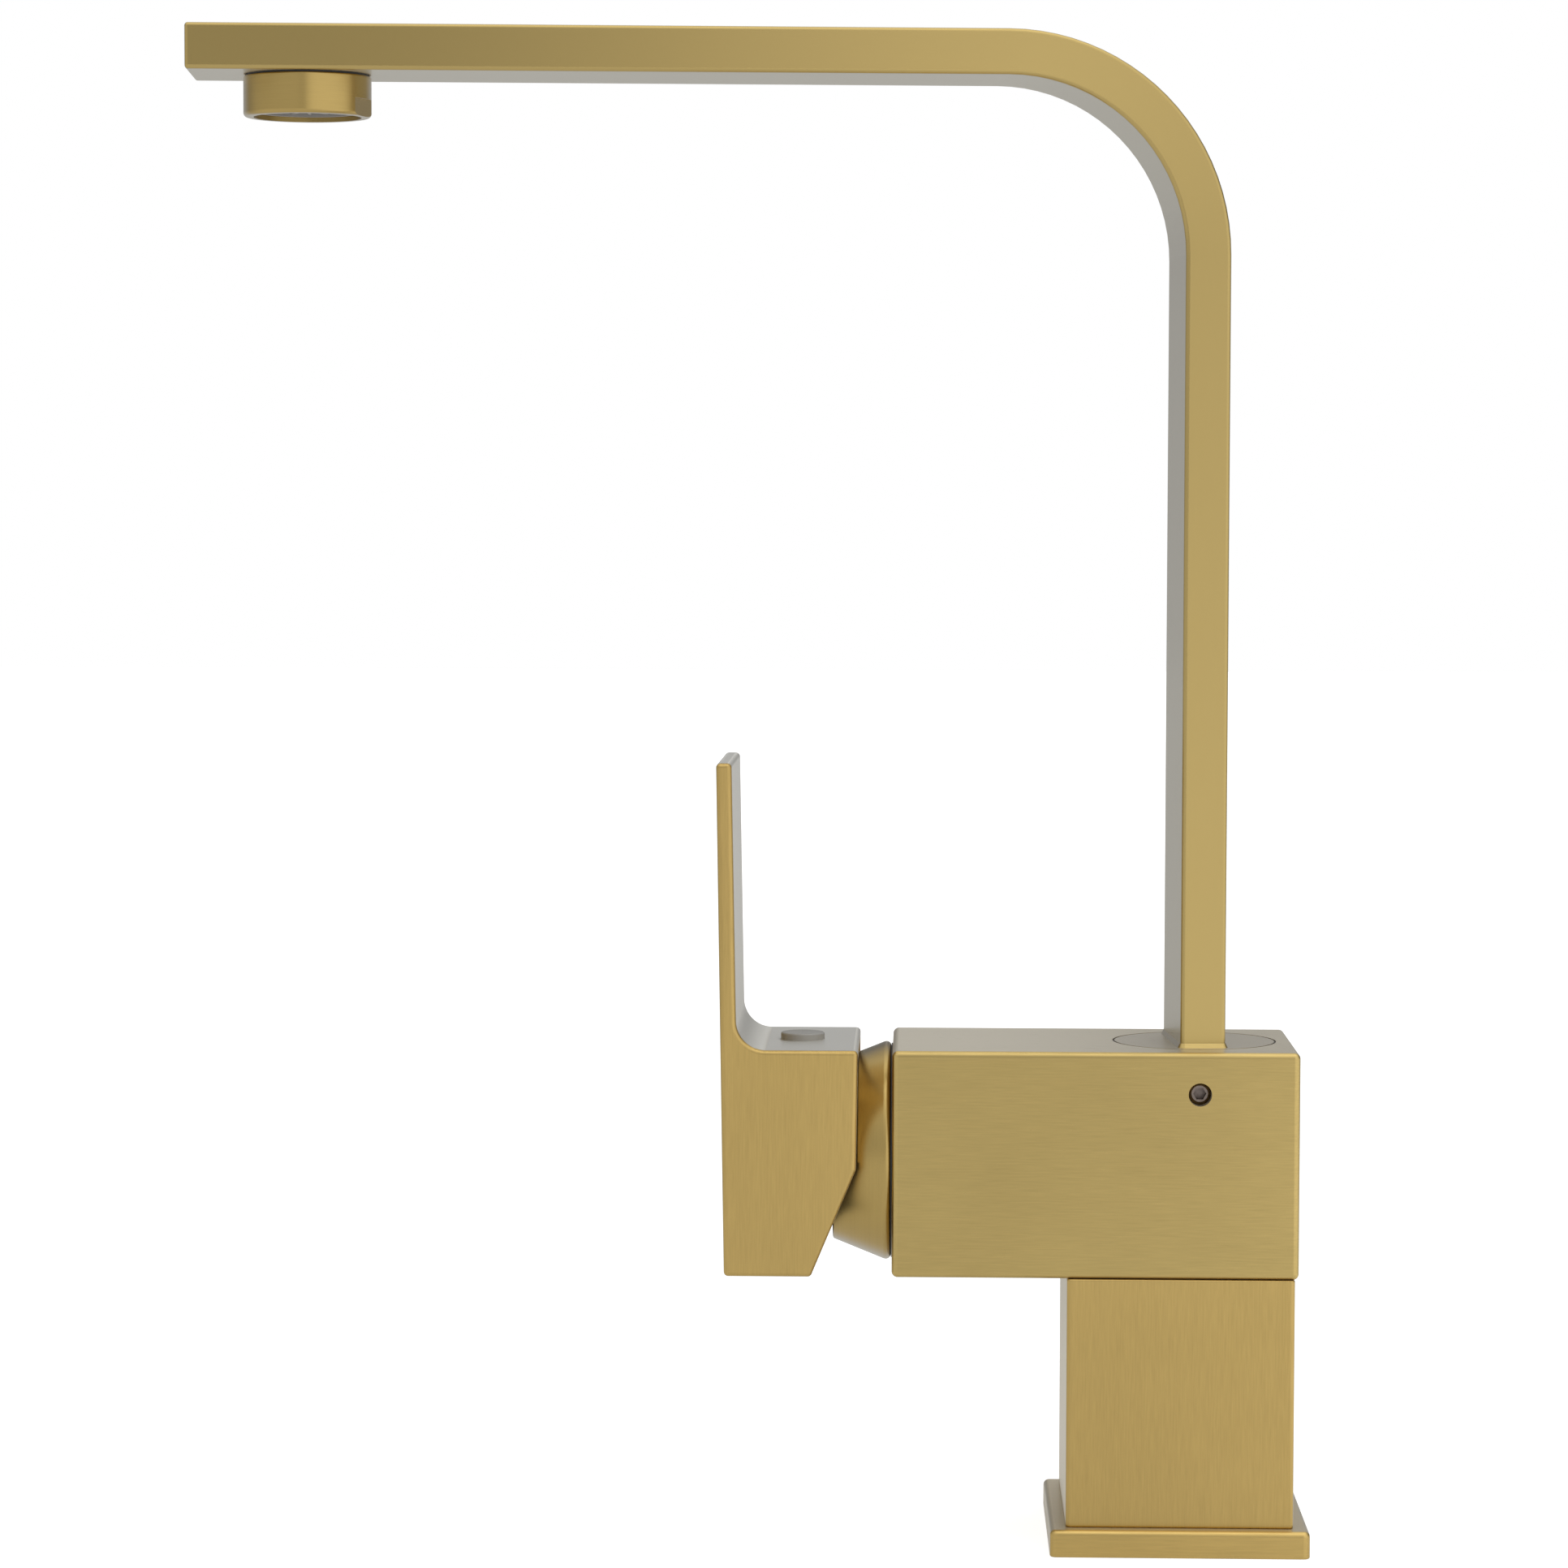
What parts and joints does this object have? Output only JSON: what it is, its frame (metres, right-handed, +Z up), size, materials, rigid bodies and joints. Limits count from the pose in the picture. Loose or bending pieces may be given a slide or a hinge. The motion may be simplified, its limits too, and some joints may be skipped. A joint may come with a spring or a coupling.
{
  "type": "single-lever kitchen mixer tap",
  "caption": "Square-section deck-mounted kitchen mixer tap with a swivel spout of flat tube and one side lever, in brushed brass.",
  "frame": {"origin": "centre of the base plate's underside, midway between the two stud holes, on the deck surface", "axes": "+Z up from the deck; -X towards the lever and the spout outlet; -Y towards the side with the spout grub screw"},
  "size_m": [0.2478, 0.0603, 0.3342],
  "materials": {
    "brushed_brass": "brushed satin gold coating over brass",
    "raw_brass": "machined brass, uncoated",
    "steel": "stainless steel",
    "dark_steel": "black oxide steel",
    "rubber": "black sealing rubber",
    "cartridge_plastic": "moulded plastic",
    "glide_plastic": "low-friction white plastic",
    "ceramic": "lapped ceramic",
    "grey_plastic": "moulded grey plastic",
    "plug_grey": "satin grey plug"
  },
  "bodies": {
    "mixer_body": {"base_plate": "brushed_brass", "base_gasket": "rubber", "inlet_block": "raw_brass", "supply_tubes": "raw_brass", "supply_tube_seals": "rubber", "tie_screws": "steel", "column": "brushed_brass", "body": "brushed_brass", "spout_grub_screw": "dark_steel", "glide_washer": "glide_plastic", "cartridge_housing": "cartridge_plastic", "cartridge_base": "cartridge_plastic", "cartridge_port_seals": "rubber", "fixed_disc": "ceramic", "cartridge_nut": "raw_brass", "cartridge_cover": "brushed_brass"},
    "spout": {"spout_foot": "brushed_brass", "stem_o_rings": "rubber", "stem_guide_ring": "glide_plastic", "spout_tube": "brushed_brass", "spout_end_cap": "brushed_brass", "outlet_nipple": "raw_brass", "aerator_housing": "brushed_brass", "aerator_washer": "rubber", "aerator_screen": "steel", "aerator_insert": "grey_plastic"},
    "cartridge_turn": {"cartridge_rotor": "cartridge_plastic", "stem_pivot_pin": "steel"},
    "lever": {"cartridge_stem": "raw_brass", "handle": "brushed_brass", "handle_grub_screw": "dark_steel", "handle_plug": "plug_grey"},
    "disc_slider": {"moving_disc": "ceramic", "disc_carrier": "cartridge_plastic"}
  },
  "joints": [
    {"name": "spout_swivel", "type": "hinge", "parent": "mixer_body", "child": "spout", "pos_m": [0.0039, 0, 0.111], "axis": [0, 0, 1], "continuous": true},
    {"name": "lever_turn", "type": "hinge", "parent": "mixer_body", "child": "cartridge_turn", "pos_m": [-0.064, 0, 0.086], "axis": [1, 0, 0], "range_deg": [-45, 45]},
    {"name": "lever_lift", "type": "hinge", "parent": "cartridge_turn", "child": "lever", "pos_m": [-0.064, 0, 0.086], "axis": [0, -1, 0], "range_deg": [0, 22]},
    {"name": "disc_slide", "type": "slide", "parent": "cartridge_turn", "child": "disc_slider", "axis": [0, 0, 1], "range_m": [0, 0.0042]}
  ],
  "couplings": [
    {"joint": "disc_slide", "follows": "lever_lift", "m_per_rad": 0.0109}
  ]
}
